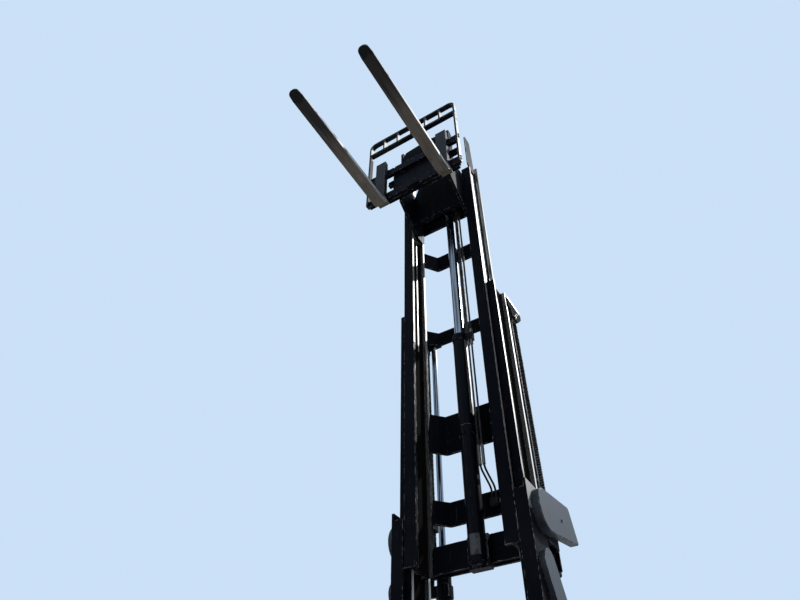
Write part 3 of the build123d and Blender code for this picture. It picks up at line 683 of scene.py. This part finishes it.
def runTree(name, treeAndKeys, base, settings, look, sharpAngle):
    # The tree runs on a mesh of points or edges, and its result is kept as a plain mesh
    tree, keys = treeAndKeys
    carrier = bpy.data.objects.new(name + "Carrier", base)
    scene.collection.objects.link(carrier)
    modifier = carrier.modifiers.new("make", "NODES")
    modifier.node_group = tree
    for setting, identifier in keys.items():
        modifier[identifier] = look if setting == "finish" else settings[setting]
    evaluated = carrier.evaluated_get(bpy.context.evaluated_depsgraph_get())
    mesh = bpy.data.meshes.new_from_object(evaluated)
    carrier.modifiers.remove(modifier)
    bpy.data.objects.remove(carrier)
    for mark in [item.name for item in mesh.attributes if item.name in pointMarks]:
        mesh.attributes.remove(mesh.attributes[mark])
    roundOff(mesh, sharpAngle)
    mesh.name = name
    return mesh


def pointMesh(name, points, attributes):
    mesh = bpy.data.meshes.new(name)
    mesh.from_pydata(points, [], [])
    for label, (kind, values) in attributes.items():
        attribute = mesh.attributes.new(label, kind, "POINT")
        if kind == "FLOAT_VECTOR":
            attribute.data.foreach_set("vector", [number for value in values for number in value])
        else:
            attribute.data.foreach_set("value", values)
    return mesh


# Leaf chains: waisted plates laced in turn over pins, along straight runs and round the sheaves
chainSettings = {
    "pitch": 0.015875, "plateHeight": 0.0125, "plateThick": 0.0031, "lace": 0.0036, "pinRadius": 0.0029,
    "pinLength": 0.026, "cornerPower": 0.62, "waist": 0.26, "waistPower": 1.5, "plateSides": 16,
    "pinSides": 10, "sharpAngle": 35.0,
    "liftX": 0.351, "liftRear": 0.159, "liftFront": 0.069, "liftHub": (0.114, 4.440), "liftRadius": 0.045,
    "anchor": 2.886, "arm": 3.179,
    "freeX": 0.092, "freeRear": -0.085, "freeFront": -0.195, "freeHub": (-0.140, 5.710), "freeRadius": 0.055,
    "freeFoot": 4.256, "crossTube": 5.590,
}
chainInputs = {"Pitch": "pitch", "Plate height": "plateHeight", "Plate thickness": "plateThick",
               "Pin radius": "pinRadius", "Pin length": "pinLength"}


def chainTree(settings):
    graph, wires, keys = startTree("leafChain", chainInputs, settings)
    # Plate: a round blank whose corners are pushed out to long rounded ends with a waist between them
    blank = graph.cylinder(settings["plateSides"], 1.0, wires["Plate thickness"])
    x, y, z = graph.split(graph.wire("GeometryNodeInputPosition"))
    power = settings["cornerPower"]
    reach = (wires["Pitch"] + wires["Plate height"]) * 0.5
    along = graph.maths("SIGN", x) * (abs(x) ** power) * reach
    waist = 1.0 - settings["waist"] * (1.0 - abs(x)) ** settings["waistPower"]
    across = graph.maths("SIGN", y) * (abs(y) ** power) * wires["Plate height"] * 0.5 * waist
    moved = graph.join(X=0.0 - z, Y=across, Z=along)
    plate = graph.wire("GeometryNodeSetPosition", None, {"Geometry": blank, "Position": moved})
    rod = graph.cylinder(settings["pinSides"], wires["Pin radius"], wires["Pin length"])
    pinTurn = graph.turned((0.0, math.pi / 2, 0.0))
    isPin = graph.mark("pin", "BOOLEAN")
    isPlate = graph.wire("FunctionNodeBooleanMath", {"operation": "NOT"}, {0: isPin})
    lean = graph.turned(graph.join(X=graph.mark("turn", "FLOAT")))
    plates = graph.wire("GeometryNodeInstanceOnPoints", None, {
        "Points": wires["Geometry"], "Selection": isPlate, "Instance": plate, "Rotation": lean})
    pins = graph.wire("GeometryNodeInstanceOnPoints", None, {
        "Points": wires["Geometry"], "Selection": isPin, "Instance": rod, "Rotation": pinTurn})
    endTree(graph, wires, graph.wire("GeometryNodeJoinGeometry", None, {0: [plates, pins]}))
    return graph.tree, keys


def chainPoints(x, route, settings):
    # Place, turn and whether it is a pin. Between two pins stand four plates or, in the next lace, three
    rows = []
    for number, place in enumerate(route):
        rows.append(((x, *place), 0.0, True))
        if number == len(route) - 1:
            break
        after = route[number + 1]
        middle = ((place[0] + after[0]) / 2, (place[1] + after[1]) / 2)
        turn = math.atan2(-(after[0] - place[0]), after[1] - place[1])
        for step in (-3, -1, 1, 3) if number % 2 else (-2, 0, 2):
            rows.append(((x + step * settings["lace"], *middle), turn, False))
    return rows


def straightRoute(y, low, high, pitch):
    steps = max(2, round((high - low) / pitch))
    return [(y, low + (high - low) * number / steps) for number in range(steps + 1)]


def turnRoute(hub, radius, steps):
    angles = [math.pi * number / steps for number in range(steps + 1)]
    return [(hub[0] + radius * math.cos(angle), hub[1] + radius * math.sin(angle)) for angle in angles]


leafChain = chainTree(chainSettings)


def addChain(name, node, x, route, settings):
    points, turns, pins = zip(*chainPoints(x, route, settings))
    base = pointMesh(name, points, {"turn": ("FLOAT", turns), "pin": ("BOOLEAN", pins)})
    mesh = runTree(name, leafChain, base, settings, looks["chain_steel"], settings["sharpAngle"])
    chain = addPiece(name, mesh)
    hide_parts(node)
    return chain


def addRun(name, node, place, heights, bodies, settings):
    # A straight run that bends from one body to the next. The lower of its heights is its anchor
    x, y = place
    foot = min(heights) + settings["plateHeight"] / 2
    run = addChain(name, node, x, straightRoute(y, foot, max(heights), settings["pitch"]), settings)
    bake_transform(run, bodies[0], bodies[1], start=(x, y, heights[0]), end=(x, y, heights[1]))


def addWrap(name, node, x, hub, radius, body, settings):
    steps = round(math.pi * radius / settings["pitch"])
    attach(addChain(name, node, x, turnRoute(hub, radius, steps), settings), body)


def addChains(settings):
    hub = settings["liftHub"]
    for side, sign in (("left", -1), ("right", 1)):
        x = sign * settings["liftX"]
        title = side.capitalize()
        addRun("liftChainRear" + title, "lift_chain_rear_" + side, (x, settings["liftRear"]),
               (settings["anchor"], hub[1]), ("outer_stage", "middle_stage"), settings)
        addRun("liftChainFront" + title, "lift_chain_front_" + side, (x, settings["liftFront"]),
               (hub[1], settings["arm"]), ("middle_stage", "inner_stage"), settings)
        addWrap("liftChainWrap" + title, "lift_chain_wrap_" + side, x, hub, settings["liftRadius"],
                "middle_stage", settings)
    hub = settings["freeHub"]
    x = settings["freeX"]
    addRun("freeChainRear", "free_chain_rear", (x, settings["freeRear"]),
           (settings["freeFoot"], hub[1]), ("inner_stage", "free_lift_ram"), settings)
    addRun("freeChainFront", "free_chain_front", (x, settings["freeFront"]),
           (hub[1], settings["crossTube"]), ("free_lift_ram", "carriage"), settings)
    addWrap("freeChainWrap", "free_chain_wrap", x, hub, settings["freeRadius"], "free_lift_ram", settings)


addChains(chainSettings)
print("stage: chains")


# Hose over the free-lift crosshead: a run up from the tube's head, the half turn, and a run to the carriage
hoseRunSettings = {"x": 0.120, "radius": 0.0068, "rear": -0.085, "front": -0.195, "foot": 4.256,
                   "hub": (-0.140, 5.710), "turn": 0.055, "turnSteps": 28, "end": 5.590, "step": 0.012,
                   "sides": 14, "ribs": 0.0006}


def addHosePiece(name, points, radii, settings):
    shape = Shape()
    shape.tube(points, radii, settings["sides"])
    return addPiece(name, shape.mesh(name, looks["hose_rubber"]))


def addHose(settings):
    x = settings["x"]
    top = settings["hub"][1]
    # Columns: piece, y, foot, body at the foot
    runs = (("hoseRunRear", settings["rear"], settings["foot"], "inner_stage"),
            ("hoseRunFront", settings["front"], settings["end"], "carriage"))
    for name, y, foot, body in runs:
        count = round((top - foot) / settings["step"])
        points = [(x, y, foot + (top - foot) * number / count) for number in range(count + 1)]
        radii = [settings["radius"] + settings["ribs"] * (number % 2) for number in range(count + 1)]
        run = addHosePiece(name, points, radii, settings)
        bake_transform(run, body, "free_lift_ram", start=(x, y, foot), end=(x, y, top))
    points = [(x, y, z) for y, z in turnRoute(settings["hub"], settings["turn"], settings["turnSteps"])]
    turn = addHosePiece("hoseTurn", points, [settings["radius"]] * len(points), settings)
    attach(turn, "free_lift_ram")


# Fittings: crimped sleeves at the hoses' ends, and ribbed guards on the two pipes beside the free-lift tube
fittingSettings = {"radius": 0.0105, "length": 0.040, "core": 0.0005, "sides": 20, "pipes": (0.120, 0.097),
                   "pipeDepth": -0.090, "pipeTop": 4.196, "guardRadius": 0.0105, "guardGroove": 0.0022,
                   "guardBore": 0.0062, "guardStep": 0.005, "guard": (3.275, 3.400)}
# Columns: share of the sleeve's length, share of its radius
crimps = ((0.0, 0.9), (0.1, 1.0), (0.35, 1.0), (0.40, 0.86), (0.48, 1.0), (0.72, 1.0), (0.78, 0.86),
          (0.86, 1.0), (0.95, 1.0), (1.0, 0.88))


def addFittings(settings, hose):
    x = hose["x"]
    shapes = {"inner_stage": Shape(), "carriage": Shape()}
    # Columns: body, place, which way the sleeve points
    sleeves = [("inner_stage", (x, hose["rear"], hose["foot"]), 1),
               ("carriage", (x, hose["front"], hose["end"]), 1)]
    for pipe in settings["pipes"]:
        sleeves.append(("inner_stage", (pipe, settings["pipeDepth"], settings["pipeTop"]), -1))
    core = settings["core"]
    for body, place, up in sleeves:
        outer = [(settings["radius"] * size, up * settings["length"] * share) for share, size in crimps]
        profile = [(core, 0.0)] + outer + [(core, up * settings["length"])]
        shapes[body].lathe(place, profile, settings["sides"])
    low, high = settings["guard"]
    count = round((high - low) / settings["guardStep"])
    rings = []
    for number in range(count + 1):
        radius = settings["guardRadius"] - settings["guardGroove"] * (number % 2)
        rings.append((radius, low + number * settings["guardStep"]))
    bore = settings["guardBore"]
    for pipe in settings["pipes"]:
        profile = [(bore, low)] + rings + [(bore, rings[-1][1])]
        shapes["inner_stage"].lathe((pipe, settings["pipeDepth"], 0.0), profile, settings["sides"])
    for body, shape in shapes.items():
        name = "hoseFittings_" + body
        addPiece(name, shape.mesh(name, steels["fastenerSteel"]), body)


addHose(hoseRunSettings)
addFittings(fittingSettings, hoseRunSettings)
print("stage: hose")


# Bolts and nuts: a chamfered hexagon head on a washer, put on points that face outwards
boltSettings = {"head": 0.0105, "height": 0.0080, "washer": 0.0150, "washerHeight": 0.0024, "washerSides": 20,
                "chamfer": 0.16, "chamferFrom": 0.45, "sharpAngle": 30.0, "seed": 7}
boltInputs = {"Head radius": "head", "Head height": "height", "Washer radius": "washer",
              "Washer height": "washerHeight", "Seed": "seed"}


def boltTree(settings):
    graph, wires, keys = startTree("boltHeads", boltInputs, settings)
    tall = wires["Head height"]
    flat = wires["Washer height"]
    block = graph.cylinder(6, wires["Head radius"], tall, 4)
    x, y, z = graph.split(graph.wire("GeometryNodeInputPosition"))
    atTop = graph.maths("GREATER_THAN", z, tall * settings["chamferFrom"])
    narrow = 1.0 - atTop * settings["chamfer"]
    moved = graph.join(X=x * narrow, Y=y * narrow, Z=z + (tall * 0.5 + flat))
    head = graph.wire("GeometryNodeSetPosition", None, {"Geometry": block, "Position": moved})
    disc = graph.cylinder(settings["washerSides"], wires["Washer radius"], flat)
    seat = graph.join(Z=flat * 0.5)
    washer = graph.wire("GeometryNodeSetPosition", None, {"Geometry": disc, "Offset": seat})
    bolt = graph.wire("GeometryNodeJoinGeometry", None, {0: [head, washer]})
    facing = graph.mark("facing", "FLOAT_VECTOR")
    size = graph.mark("size", "FLOAT")
    # Sockets 2, 3 and output 1 are the ones for a float, and 8 is the seed
    sockets = {2: 0.0, 3: math.pi / 3, 8: wires["Seed"]}
    turn = graph.wire("FunctionNodeRandomValue", {"data_type": "FLOAT"}, sockets, 1)
    spin = graph.turned(graph.join(Z=turn))
    aligned = graph.wire("FunctionNodeAlignRotationToVector", {"axis": "Z"}, {"Vector": facing})
    rotation = graph.wire("FunctionNodeRotateRotation", {"rotation_space": "LOCAL"}, {0: aligned, 1: spin})
    scale = graph.join(X=size, Y=size, Z=size)
    placed = graph.wire("GeometryNodeInstanceOnPoints", None, {
        "Points": wires["Geometry"], "Instance": bolt, "Rotation": rotation, "Scale": scale})
    endTree(graph, wires, placed)
    return graph.tree, keys


boltHeads = boltTree(boltSettings)
toRight, toLeft, toBack, toTop = (1, 0, 0), (-1, 0, 0), (0, 1, 0), (0, 0, 1)
postHeights = (5.620, 5.655, 5.945, 5.980)
# Columns: body, each x, y, each z, facing, size, whether its mirror image is made too
boltPlaces = (
    ("outer_stage", (0.440,), 0.103, (2.945,), toRight, 0.70, True),
    ("middle_stage", (0.385,), 0.128, (4.464,), toRight, 0.60, True),
    ("middle_stage", (0.385,), 0.100, (4.416,), toRight, 0.60, True),
    ("middle_stage", (0.345,), 0.040, (4.556,), toTop, 0.90, True),
    ("middle_stage", (0.312,), 0.188, (4.556,), toTop, 1.35, True),
    ("inner_stage", (0.104, -0.030), -0.023, (2.780, 2.868), toBack, 0.95, False),
    ("inner_stage", (0.012, 0.062), 0.061, (3.530,), toBack, 0.95, False),
    ("side_shift", (0.372,), -0.5205, postHeights, toRight, 0.85, False),
    ("side_shift", (-0.502,), -0.5205, postHeights, toLeft, 0.85, False),
    ("carriage", (0.330,), -0.455, (5.656, 5.866), toRight, 0.95, True),
)


def addBolts(places, settings):
    sets = {}
    for body, acrosses, y, heights, facing, size, mirrored in places:
        rows = sets.setdefault(body, [])
        for x, z in [(x, z) for x in acrosses for z in heights]:
            rows.append(((x, y, z), facing, size))
            if mirrored:
                rows.append(((-x, y, z), (-facing[0], facing[1], facing[2]), size))
    for body, rows in sets.items():
        name = "bolts_" + body
        points, facings, scales = zip(*rows)
        base = pointMesh(name, points, {"facing": ("FLOAT_VECTOR", facings), "size": ("FLOAT", scales)})
        mesh = runTree(name, boltHeads, base, settings, steels["fastenerSteel"], settings["sharpAngle"])
        addPiece(name, mesh, body)


addBolts(boltPlaces, boltSettings)
print("stage: bolts")


# Weld beads: rippled seams along the joints of ties, yokes and bars
beadSettings = {"radius": 0.0045, "ripple": 0.0065, "depth": 0.16, "step": 0.0016, "sides": 8,
                "sharpAngle": 60.0, "yokeY": -0.040, "yokeX": (0.395, 0.381), "barX": 0.395,
                "barTop": (-0.200, 2.613), "barLean": 28.8, "barSeam": 0.30}
beadInputs = {"Bead radius": "radius", "Ripple length": "ripple", "Ripple depth": "depth", "Step": "step",
              "Sides": "sides"}
innerTies = ("inner_top_tie", "inner_upper_tie", "inner_deep_plate", "inner_lower_tie", "inner_foot_tie")
midTies = ("mid_top_tie", "mid_foot_tie")
# Columns: body, ties, half width, inner end of the seam, y
tieSeams = (("inner_stage", innerTies, 0.290, 0.253, -0.039), ("middle_stage", midTies, 0.330, 0.313, 0.005))
yokes = ("outer_top_yoke", "outer_middle_yoke", "outer_foot_yoke")


def beadTree(settings):
    graph, wires, keys = startTree("weldBeads", beadInputs, settings)
    path = graph.wire("GeometryNodeMeshToCurve", None, {"Mesh": wires["Geometry"]})
    fine = graph.wire("GeometryNodeResampleCurve", {"mode": "LENGTH"}, {
        "Curve": path, "Length": wires["Step"]})
    run = graph.wire("GeometryNodeSplineParameter", None, None, "Length")
    wave = graph.maths("SINE", run * (2 * math.pi) / wires["Ripple length"])
    size = 1.0 + wave * wires["Ripple depth"]
    ring = graph.wire("GeometryNodeCurvePrimitiveCircle", None, {0: wires["Sides"], 4: wires["Bead radius"]})
    bead = graph.wire("GeometryNodeCurveToMesh", None, {
        "Curve": fine, "Profile Curve": ring, "Scale": size, "Fill Caps": True})
    endTree(graph, wires, bead)
    return graph.tree, keys


weldBeads = beadTree(beadSettings)


def seamPaths(settings):
    paths = {"inner_stage": [], "middle_stage": [], "outer_stage": []}
    for body, ties, half, inner, y in tieSeams:
        for tie in ties:
            low, high = (corner[2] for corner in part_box(tie))
            for sign in (-1, 1):
                outline = ((inner, low), (half, low), (half, high), (inner, high))
                paths[body].append([(sign * x, y, z) for x, z in outline])
    for yoke in yokes:
        low, high = (corner[2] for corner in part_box(yoke))
        for x in settings["yokeX"]:
            for sign in (-1, 1):
                paths["outer_stage"].append([(sign * x, settings["yokeY"], z) for z in (low, high)])
    lean = math.radians(settings["barLean"])
    y, z = settings["barTop"]
    foot = (y + settings["barSeam"] * math.sin(lean), z - settings["barSeam"] * math.cos(lean))
    for sign in (-1, 1):
        x = sign * settings["barX"]
        paths["outer_stage"].append([(x, y, z), (x, *foot)])
    return paths


def addBeads(settings):
    for body, paths in seamPaths(settings).items():
        corners = []
        edges = []
        for path in paths:
            start = len(corners)
            corners += path
            edges += [(start + number, start + number + 1) for number in range(len(path) - 1)]
        name = "weldBeads_" + body
        base = bpy.data.meshes.new(name)
        base.from_pydata(corners, edges, [])
        mesh = runTree(name, weldBeads, base, settings, looks["black_paint"], settings["sharpAngle"])
        addPiece(name, mesh, body)


addBeads(beadSettings)
print("stage: weld beads")


# Gland rings on the cylinders. Columns of a gland: bore radius, outer radius, height
glandSettings = {"liftGland": (0.0204, 0.034, 0.014), "freeGland": (0.0334, 0.0395, 0.003), "notches": 8,
                 "notchSteps": 6, "notch": 0.0035, "chamfer": 0.0015, "chamferFrom": 0.85, "liftX": 0.312,
                 "liftHead": (0.188, 2.846), "freeHead": (0.037, -0.090, 4.256)}


def notchedRing(shape, place, sizes, settings):
    inner, outer, tall = sizes
    rings = []
    steps = settings["notchSteps"]
    for number, angle in enumerate(fullTurn(settings["notches"] * steps)):
        radius = outer - settings["notch"] if number % steps in (0, 1) else outer
        profile = ((inner, 0.0), (radius, 0.0), (radius, tall * settings["chamferFrom"]),
                   (radius - settings["chamfer"], tall), (inner, tall))
        rings.append([Vector(place) + Vector((size * math.cos(angle), size * math.sin(angle), along))
                      for size, along in profile])
    shape.grid(rings, True)


def addGlands(settings):
    lifts = [((sign * settings["liftX"], *settings["liftHead"]), settings["liftGland"]) for sign in (-1, 1)]
    free = [(settings["freeHead"], settings["freeGland"])]
    for body, rows in (("outer_stage", lifts), ("inner_stage", free)):
        shape = Shape()
        for place, sizes in rows:
            notchedRing(shape, place, sizes, settings)
        name = "glandRings_" + body
        addPiece(name, shape.mesh(name, looks["bearing_steel"]), body)


# Keeper plates: a slanting rounded strip on each crosshead's outer face, and the end of the sheave's pin
keeperSettings = {"face": 0.3798, "hub": (0.114, 4.440), "length": 0.052, "width": 0.015, "thick": 0.005,
                  "lean": 60.0, "sides": 24, "pinRadius": 0.0135, "pinProud": 0.004, "pinChamfer": 0.002,
                  "core": 0.0005}


def addKeepers(settings):
    keepers = Shape()
    pins = Shape()
    hubY, hubZ = settings["hub"]
    half = settings["width"] / 2
    straight = settings["length"] / 2 - half
    lean = math.radians(settings["lean"])
    outline = []
    for angle in fullTurn(settings["sides"]):
        along = (straight if math.cos(angle) > 0 else -straight) + half * math.cos(angle)
        across = half * math.sin(angle)
        outline.append((hubY + along * math.cos(lean) - across * math.sin(lean),
                        hubZ + along * math.sin(lean) + across * math.cos(lean)))
    radius = settings["pinRadius"]
    proud = settings["pinProud"]
    chamfer = settings["pinChamfer"]
    core = settings["core"]
    profile = ((core, 0.0), (radius, 0.0), (radius, proud - chamfer), (radius - chamfer, proud),
               (core, proud))
    for sign in (-1, 1):
        keepers.plate(outline, (sign * settings["face"], sign * (settings["face"] + settings["thick"])))
        turned = [(size, sign * along) for size, along in profile]
        pins.lathe((sign * settings["face"], hubY, hubZ), turned, settings["sides"], 0)
    rows = (("keeperPlates", keepers, "black_paint"), ("sheavePinEnds", pins, "bearing_steel"))
    for name, shape, slotName in rows:
        addPiece(name, shape.mesh(name, looks[slotName]), "middle_stage")


# The plate riveted round the foot of the free-lift tube is blank
plateSettings = {"axis": (0.037, -0.090), "radius": (0.0480, 0.0488), "angles": (-116.0, -46.0),
                 "height": (2.772, 2.880), "steps": 20}


def addPlate(settings):
    shape = Shape()
    axisX, axisY = settings["axis"]
    inner, outer = settings["radius"]
    low, high = settings["height"]
    first, last = (math.radians(angle) for angle in settings["angles"])
    rings = []
    for number in range(settings["steps"] + 1):
        angle = first + (last - first) * number / settings["steps"]
        rings.append([(axisX + radius * math.cos(angle), axisY + radius * math.sin(angle), z)
                      for radius, z in ((inner, low), (outer, low), (outer, high), (inner, high))])
    shape.grid(rings, False)
    addPiece("blankPlate", shape.mesh("blankPlate", steels["plateSteel"]), "inner_stage")


addGlands(glandSettings)
addKeepers(keeperSettings)
addPlate(plateSettings)
print("stage: small pieces")

# Floor: plain and pale, under the mast's feet
floorSettings = {"radius": 150.0, "sides": 72, "height": -0.15, "colour": (0.62, 0.62, 0.61, 1.0),
                 "gloss": 0.2, "roughness": 0.8}


def addFloor(settings):
    radius = settings["radius"]
    rim = [(radius * math.cos(angle), radius * math.sin(angle), settings["height"])
           for angle in fullTurn(settings["sides"])]
    mesh = bpy.data.meshes.new("floor")
    mesh.from_pydata(rim, [], [list(range(settings["sides"]))])
    floor = bpy.data.objects.new("floor", mesh)
    scene.collection.objects.link(floor)
    material, graph, shader, point, facing = startLook("floorLook", settings["gloss"])
    finishLook(graph, shader, settings["colour"], settings["roughness"])
    mesh.materials.append(material)


addFloor(floorSettings)
print("stage: floor")
